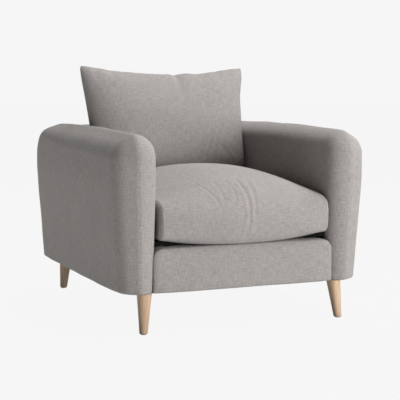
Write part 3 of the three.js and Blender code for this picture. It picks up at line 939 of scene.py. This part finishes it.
def side_panel(row, rings=9):
    """Rings that close the end of a cushion with a flat panel."""
    flat = row[:, 1:]
    z = flat[:, 1].mean()
    margin = 0.06
    y = np.clip(flat[:, 0], flat[:, 0].min() + margin, flat[:, 0].max() - margin)
    spine = np.column_stack([y, np.full(len(flat), z)])
    rows = []
    for i in range(1, rings + 1):
        share = i / (rings + 0.3)
        inner = flat * (1 - share) + spine * share
        rows.append(np.column_stack([row[:, 0], inner]))
    return rows


def seam_y(z):
    """y of the seam round the back cushion at height z."""
    return 0.305 - (0.869 - z) * RECLINE


def back_seam(at):
    return np.abs(at[:, 1] - seam_y(at[:, 2]) - CENTRING) < 1e-5


BACK_TOP = 0.8715  # z of the top corners
BACK_LOW = 0.452  # z of the bottom corners

# small dips in the top seam beside its long sag: where, from -1 to 1, how wide and how deep
BACK_TOP_DIPS = [
    (0.13, 0.035, 0.005),
    (0.35, 0.30, 0.0035),
    (0.42, 0.05, 0.002),
    (0.27, 0.08, -0.003),
]


def back_outline(u, v):
    """x and z of the back cushion at (u, v), each from -1 to 1."""
    sag = 0.031 * (1 - np.abs(u) ** 2.0)
    for where, width, depth in BACK_TOP_DIPS:
        sag += depth * bell(u - where, width)
    top = BACK_TOP - 0.0035 * u - sag
    low = BACK_LOW + 0.016 * (1 - np.abs(u) ** 2.5)
    z = low + (top - low) * (v + 1) / 2
    right = np.clip(u, 0, 1)
    free = climb(z, 0.60, 0.26)  # the cushion spreads where the arms no longer hold it
    waist = 0.006 * right ** 4 * bell(z - 0.75, 0.05)
    half = 0.3085 + 0.027 * free ** 1.3 + 0.007 * right * free ** 3
    blunt = 0.009 * (np.abs(u) * np.abs(v)) ** 12
    x = 0.004 + u * half - waist - np.sign(u) * blunt
    return x, z - np.sign(v) * 0.5 * blunt


# each fold's x and z at the upper end, x and z at the lower end, and depth
BACK_FOLDS = [
    (0.142, 0.610, 0.118, 0.528, 0.0024),
    (0.122, 0.596, 0.078, 0.520, 0.0028),
    (0.164, 0.588, 0.152, 0.535, 0.0016),
    (0.098, 0.566, 0.052, 0.522, 0.0014),
]


def crease_back(piece):
    """Pull wrinkles near the foot of the cushion, and soft puckers along its top seam."""
    width, pucker_height = 0.0075, 0.0030
    for x1, z1, x0, z0, depth in BACK_FOLDS:
        def line(at):
            length = math.hypot(x1 - x0, z1 - z0)
            along = ((at[:, 0] - x0) * (x1 - x0) + (at[:, 2] - z0) * (z1 - z0)) / length
            aside = ((at[:, 0] - x0) * (z1 - z0) - (at[:, 2] - z0) * (x1 - x0)) / length
            facing = np.clip((seam_y(at[:, 2]) + CENTRING - at[:, 1]) / 0.03, 0, 1)
            return aside, fade(along, 0.0, length, 0.03) * facing
        fold(piece, line, depth, width)
    at = points_of(piece)
    rim = bell(at[:, 2] - (BACK_TOP - 0.028), 0.03) * (at[:, 2] > 0.75)
    pucker = smooth_noise(at * np.array([1, 0.4, 0.25]), 26.0, 4.0)
    set_points(piece, at + normals_of(piece) * (pucker_height * pucker * rim)[:, None])


def crowded(count, share, reach=1.0):
    """Values from -1 to 1 that lie closer together near both ends."""
    even = np.linspace(-1, 1, count)
    quarter = math.pi / 2 * reach
    return share * np.sin(even * quarter) / math.sin(quarter) + (1 - share) * even


def back_cushion():
    """Two swollen panels that meet in a knife edge, the rear one flat where the back holds it."""
    columns, rows = 112, 76
    u, v = np.meshgrid(crowded(columns, 0.55, 0.985), crowded(rows, 0.5))
    x, z = back_outline(u, v)
    swell = np.sqrt(np.clip((1 - np.abs(u) ** 3.6) * (1 - np.abs(v) ** 3.2), 0, 1))
    swell *= 1 - 0.12 * v
    front = seam_y(z) - 0.092 * swell
    held_at = np.where(z < 0.62, back_face(z) - 0.003, np.inf)
    behind = np.minimum(seam_y(z) + 0.088 * swell, held_at)
    index = {}
    points, faces = [], []
    for layer, y in ((0, front), (1, behind)):
        for r in range(rows):
            for c in range(columns):
                rim = r in (0, rows - 1) or c in (0, columns - 1)
                if layer and rim:
                    index[1, r, c] = index[0, r, c]
                    continue
                index[layer, r, c] = len(points)
                points.append((x[r, c], y[r, c] + CENTRING, z[r, c]))
    for layer in (0, 1):
        for r in range(rows - 1):
            for c in range(columns - 1):
                ring = ((r, c), (r, c + 1), (r + 1, c + 1), (r + 1, c))
                quad = [index[layer, *place] for place in ring]
                faces.append(quad if layer == 0 else quad[::-1])
    piece = mesh_object("back_cushion_cover", points, faces)
    join_rows(piece)
    return piece


def back_share(at):
    """The back cushion swells freely above the seat, and hardly at its foot."""
    return np.clip((at[:, 2] - 0.50) / 0.20, 0.1, 1)


# ---------------------------------------------------------------- legs
def middle_of(node):
    low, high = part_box(node)
    return (np.array(low) + np.array(high)) / 2


def leg_profile(low, high):
    """Radius and z up a leg: a rounded foot, then a slightly hollow taper."""
    foot, top, edge, steps = 0.0138, 0.0248, 0.0045, 24
    profile = [(0.0100, low + 0.0004), (foot - edge, low)]
    for angle in range(15, 91, 15):
        turn = math.radians(angle)
        profile.append((foot - edge + edge * math.sin(turn), low + edge * (1 - math.cos(turn))))
    for i in range(1, steps + 1):
        up = i / steps
        profile.append((foot + (top - foot) * up ** 1.05, low + edge + (high - low - edge) * up))
    profile.append((0.005, high))
    return profile


def oak_leg(corner):
    """A turned leg that leans from its glide to its bolt."""
    low, high = (c[2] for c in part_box(f"leg_{corner}"))
    foot, head = middle_of(f"glide_{corner}"), middle_of(f"leg_bolt_{corner}")
    profile = leg_profile(low, high)
    turns = 72
    points = []
    for radius, z in profile:
        up = (z - low) / (high - low)
        centre = foot * (1 - up) + head * up
        for i in range(turns):
            turn = 2 * math.pi * i / turns
            points.append((centre[0] + radius * math.cos(turn), centre[1] + radius * math.sin(turn), z))
    piece = mesh_object(f"oak_leg_{corner}", points, grid_faces(len(profile), turns, wrap=True))
    join_rows(piece)
    return piece


# ---------------------------------------------------------------- the whole chair
def mount(piece, body, material, replaced):
    """Puts a piece on its body in place of CAD nodes."""
    give(piece, material)
    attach(piece, body)
    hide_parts(*replaced)


def dress_cad_nodes():
    """Gives every CAD node that stays its own procedural material."""
    looks = {
        "plywood": wood_material("plywood", (0.62, 0.45, 0.27), (0.42, 0.28, 0.15), along="X"),
        "softwood": wood_material("softwood", (0.72, 0.54, 0.33), (0.52, 0.35, 0.18), along="Y"),
        "oak": OAK,
        "spring_steel": plain_material("spring_steel", (0.25, 0.25, 0.26), 0.38, 1.0),
        "steel": plain_material("zinc_steel", (0.55, 0.55, 0.56), 0.35, 1.0),
        "webbing": fabric_material("elastic_webbing", (0.03, 0.028, 0.026)),
        "deck_felt": fabric_material("deck_felt", (0.010, 0.010, 0.010), lustre=0.0),
        "cambric": fabric_material("black_cambric", (0.012, 0.012, 0.012)),
        "nylon": plain_material("black_nylon", (0.03, 0.03, 0.03), 0.55),
        "zip_tape": fabric_material("zip_tape", (0.13, 0.12, 0.115)),
        "zip_metal": plain_material("zip_metal", (0.45, 0.44, 0.43), 0.3, 1.0),
    }
    for part in frame["record"]["subparts"]:
        if part["material_slot"] in looks:
            give(frame["nodes"][part["node"]], looks[part["material_slot"]])


make_camera()
make_studio()
CLOTH = fabric_material("woven_fabric")
OAK = wood_material("light_oak", (0.60, 0.42, 0.27), (0.40, 0.25, 0.145), grain=0.9, roughness=0.55)
dress_cad_nodes()
for side_name in SIDES:
    mount(arm_cover(side_name), "chair", CLOTH, [f"{side_name}_arm_upholstery"])
mount(rail_cover(), "chair", CLOTH, ["front_rail_upholstery"])
mount(inside_back_cover(), "chair", CLOTH, ["inside_back_upholstery"])
mount(outside_back_cover(), "chair", CLOTH, ["outside_back_panel"])
seat = seat_cushion()
puff(seat, 3.0, 0.006, held=seat_ends, share=lambda at: np.ones(len(at)))
subdivide(seat)
crease_seat(seat)
mount(seat, "seat_cushion", CLOTH, ["seat_cushion"])
back = back_cushion()
puff(back, 4.0, 0.024, held=back_seam, share=back_share)
subdivide(back)
crease_back(back)
mount(back, "back_cushion", CLOTH, ["back_cushion"])
for corner in CORNERS:
    mount(oak_leg(corner), "chair", OAK, [f"leg_{corner}"])
